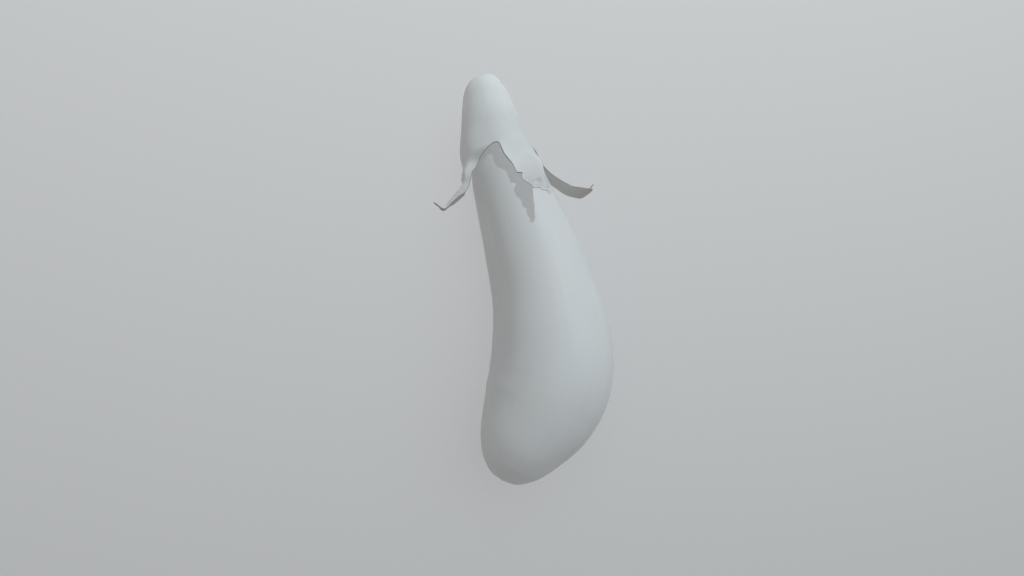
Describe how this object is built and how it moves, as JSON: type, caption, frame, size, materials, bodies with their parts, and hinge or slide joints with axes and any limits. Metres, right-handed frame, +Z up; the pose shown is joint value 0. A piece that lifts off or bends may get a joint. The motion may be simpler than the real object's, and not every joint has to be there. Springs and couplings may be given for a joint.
{
  "type": "eggplant",
  "caption": "Semi-long eggplant as picked, lying on its side: a bent, smooth, blunt-ended fruit gripped at the neck by a star-shaped calyx with a stub of stalk.",
  "frame": {"origin": "under the middle of the whole, in the plane of the small flat spot that the fruit rests on", "axes": "+Z up, +Y along the fruit towards the stalk, +X towards the bulging side of its bend"},
  "size_m": [0.0902, 0.2086, 0.0603],
  "materials": {
    "skin": "satin, smooth pale skin",
    "calyx": "matte, finely ribbed"
  },
  "bodies": {
    "root": {"fruit": "skin", "calyx": "calyx"}
  },
  "joints": []
}
